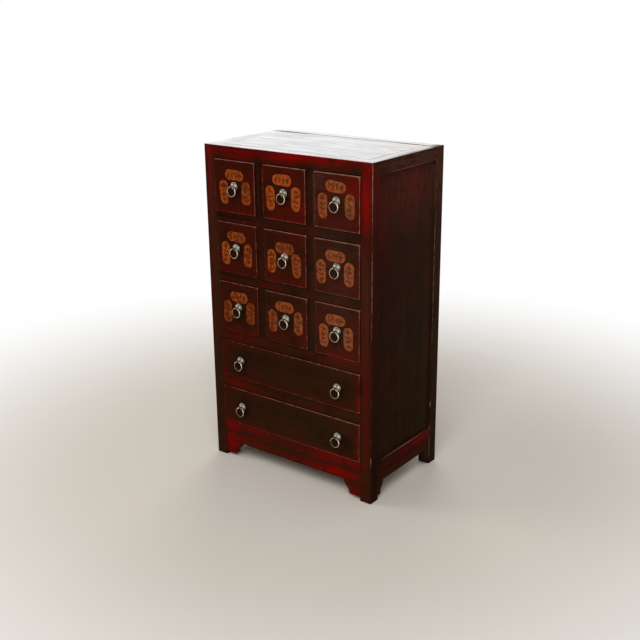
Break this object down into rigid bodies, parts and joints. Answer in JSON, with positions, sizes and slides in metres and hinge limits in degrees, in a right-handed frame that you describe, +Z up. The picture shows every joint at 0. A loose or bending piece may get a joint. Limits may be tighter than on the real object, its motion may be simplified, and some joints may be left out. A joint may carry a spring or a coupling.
{
  "type": "apothecary chest",
  "caption": "Upright lacquered wooden chest with rows of small square drawers over wide drawers, ring pulls, a flat framed top and a shaped apron between its feet.",
  "frame": {"origin": "on the floor under the middle of the whole chest, its pulls included", "axes": "+Z up, the drawer fronts face -Y, +X to the right as seen from the front"},
  "size_m": [0.505, 0.3216, 0.84],
  "materials": {
    "lacquer": "worn satin lacquer",
    "bare_wood": "bare planed wood",
    "hardware": "aged white brass"
  },
  "bodies": {
    "carcass": {"front_posts": "lacquer", "back_posts": "lacquer", "top_frame": "lacquer", "top_panel": "lacquer", "side_panels": "lacquer", "back_panel": "lacquer", "drawer_rails": "lacquer", "muntins": "lacquer", "bottom_rails": "lacquer", "aprons": "lacquer", "shelves": "bare_wood", "shelf_cleats": "bare_wood", "drawer_guides": "bare_wood", "partitions": "bare_wood"},
    "drawer_top_left": {"drawer_front_top_left": "lacquer", "drawer_box_top_left": "bare_wood", "pull_top_left": "hardware"},
    "ring_top_left": {"ring_top_left": "hardware"},
    "drawer_top_centre": {"drawer_front_top_centre": "lacquer", "drawer_box_top_centre": "bare_wood", "pull_top_centre": "hardware"},
    "ring_top_centre": {"ring_top_centre": "hardware"},
    "drawer_top_right": {"drawer_front_top_right": "lacquer", "drawer_box_top_right": "bare_wood", "pull_top_right": "hardware"},
    "ring_top_right": {"ring_top_right": "hardware"},
    "drawer_middle_left": {"drawer_front_middle_left": "lacquer", "drawer_box_middle_left": "bare_wood", "pull_middle_left": "hardware"},
    "ring_middle_left": {"ring_middle_left": "hardware"},
    "drawer_middle_centre": {"drawer_front_middle_centre": "lacquer", "drawer_box_middle_centre": "bare_wood", "pull_middle_centre": "hardware"},
    "ring_middle_centre": {"ring_middle_centre": "hardware"},
    "drawer_middle_right": {"drawer_front_middle_right": "lacquer", "drawer_box_middle_right": "bare_wood", "pull_middle_right": "hardware"},
    "ring_middle_right": {"ring_middle_right": "hardware"},
    "drawer_lower_left": {"drawer_front_lower_left": "lacquer", "drawer_box_lower_left": "bare_wood", "pull_lower_left": "hardware"},
    "ring_lower_left": {"ring_lower_left": "hardware"},
    "drawer_lower_centre": {"drawer_front_lower_centre": "lacquer", "drawer_box_lower_centre": "bare_wood", "pull_lower_centre": "hardware"},
    "ring_lower_centre": {"ring_lower_centre": "hardware"},
    "drawer_lower_right": {"drawer_front_lower_right": "lacquer", "drawer_box_lower_right": "bare_wood", "pull_lower_right": "hardware"},
    "ring_lower_right": {"ring_lower_right": "hardware"},
    "drawer_upper_wide": {"drawer_front_upper_wide": "lacquer", "drawer_box_upper_wide": "bare_wood", "pull_upper_wide": "hardware"},
    "ring_upper_wide_left": {"ring_upper_wide_left": "hardware"},
    "ring_upper_wide_right": {"ring_upper_wide_right": "hardware"},
    "drawer_bottom_wide": {"drawer_front_bottom_wide": "lacquer", "drawer_box_bottom_wide": "bare_wood", "pull_bottom_wide": "hardware"},
    "ring_bottom_wide_left": {"ring_bottom_wide_left": "hardware"},
    "ring_bottom_wide_right": {"ring_bottom_wide_right": "hardware"}
  },
  "joints": [
    {"name": "drawer_top_left_slide", "type": "slide", "parent": "carcass", "child": "drawer_top_left", "axis": [0, -1, 0], "range_m": [0, 0.21]},
    {"name": "ring_top_left_swing", "type": "hinge", "parent": "drawer_top_left", "child": "ring_top_left", "pos_m": [-0.155, -0.15715, 0.744], "axis": [-1, 0, 0], "range_deg": [-20, 200]},
    {"name": "drawer_top_centre_slide", "type": "slide", "parent": "carcass", "child": "drawer_top_centre", "axis": [0, -1, 0], "range_m": [0, 0.21]},
    {"name": "ring_top_centre_swing", "type": "hinge", "parent": "drawer_top_centre", "child": "ring_top_centre", "pos_m": [0, -0.15715, 0.744], "axis": [-1, 0, 0], "range_deg": [-20, 200]},
    {"name": "drawer_top_right_slide", "type": "slide", "parent": "carcass", "child": "drawer_top_right", "axis": [0, -1, 0], "range_m": [0, 0.21]},
    {"name": "ring_top_right_swing", "type": "hinge", "parent": "drawer_top_right", "child": "ring_top_right", "pos_m": [0.155, -0.15715, 0.744], "axis": [-1, 0, 0], "range_deg": [-20, 200]},
    {"name": "drawer_middle_left_slide", "type": "slide", "parent": "carcass", "child": "drawer_middle_left", "axis": [0, -1, 0], "range_m": [0, 0.21]},
    {"name": "ring_middle_left_swing", "type": "hinge", "parent": "drawer_middle_left", "child": "ring_middle_left", "pos_m": [-0.155, -0.15715, 0.588], "axis": [-1, 0, 0], "range_deg": [-20, 200]},
    {"name": "drawer_middle_centre_slide", "type": "slide", "parent": "carcass", "child": "drawer_middle_centre", "axis": [0, -1, 0], "range_m": [0, 0.21]},
    {"name": "ring_middle_centre_swing", "type": "hinge", "parent": "drawer_middle_centre", "child": "ring_middle_centre", "pos_m": [0, -0.15715, 0.588], "axis": [-1, 0, 0], "range_deg": [-20, 200]},
    {"name": "drawer_middle_right_slide", "type": "slide", "parent": "carcass", "child": "drawer_middle_right", "axis": [0, -1, 0], "range_m": [0, 0.21]},
    {"name": "ring_middle_right_swing", "type": "hinge", "parent": "drawer_middle_right", "child": "ring_middle_right", "pos_m": [0.155, -0.15715, 0.588], "axis": [-1, 0, 0], "range_deg": [-20, 200]},
    {"name": "drawer_lower_left_slide", "type": "slide", "parent": "carcass", "child": "drawer_lower_left", "axis": [0, -1, 0], "range_m": [0, 0.21]},
    {"name": "ring_lower_left_swing", "type": "hinge", "parent": "drawer_lower_left", "child": "ring_lower_left", "pos_m": [-0.155, -0.15715, 0.432], "axis": [-1, 0, 0], "range_deg": [-20, 200]},
    {"name": "drawer_lower_centre_slide", "type": "slide", "parent": "carcass", "child": "drawer_lower_centre", "axis": [0, -1, 0], "range_m": [0, 0.21]},
    {"name": "ring_lower_centre_swing", "type": "hinge", "parent": "drawer_lower_centre", "child": "ring_lower_centre", "pos_m": [0, -0.15715, 0.432], "axis": [-1, 0, 0], "range_deg": [-20, 200]},
    {"name": "drawer_lower_right_slide", "type": "slide", "parent": "carcass", "child": "drawer_lower_right", "axis": [0, -1, 0], "range_m": [0, 0.21]},
    {"name": "ring_lower_right_swing", "type": "hinge", "parent": "drawer_lower_right", "child": "ring_lower_right", "pos_m": [0.155, -0.15715, 0.432], "axis": [-1, 0, 0], "range_deg": [-20, 200]},
    {"name": "drawer_upper_wide_slide", "type": "slide", "parent": "carcass", "child": "drawer_upper_wide", "axis": [0, -1, 0], "range_m": [0, 0.21]},
    {"name": "ring_upper_wide_left_swing", "type": "hinge", "parent": "drawer_upper_wide", "child": "ring_upper_wide_left", "pos_m": [-0.155, -0.15715, 0.287], "axis": [-1, 0, 0], "range_deg": [-20, 200]},
    {"name": "ring_upper_wide_right_swing", "type": "hinge", "parent": "drawer_upper_wide", "child": "ring_upper_wide_right", "pos_m": [0.155, -0.15715, 0.287], "axis": [-1, 0, 0], "range_deg": [-20, 200]},
    {"name": "drawer_bottom_wide_slide", "type": "slide", "parent": "carcass", "child": "drawer_bottom_wide", "axis": [0, -1, 0], "range_m": [0, 0.21]},
    {"name": "ring_bottom_wide_left_swing", "type": "hinge", "parent": "drawer_bottom_wide", "child": "ring_bottom_wide_left", "pos_m": [-0.155, -0.15715, 0.157], "axis": [-1, 0, 0], "range_deg": [-20, 200]},
    {"name": "ring_bottom_wide_right_swing", "type": "hinge", "parent": "drawer_bottom_wide", "child": "ring_bottom_wide_right", "pos_m": [0.155, -0.15715, 0.157], "axis": [-1, 0, 0], "range_deg": [-20, 200]}
  ]
}
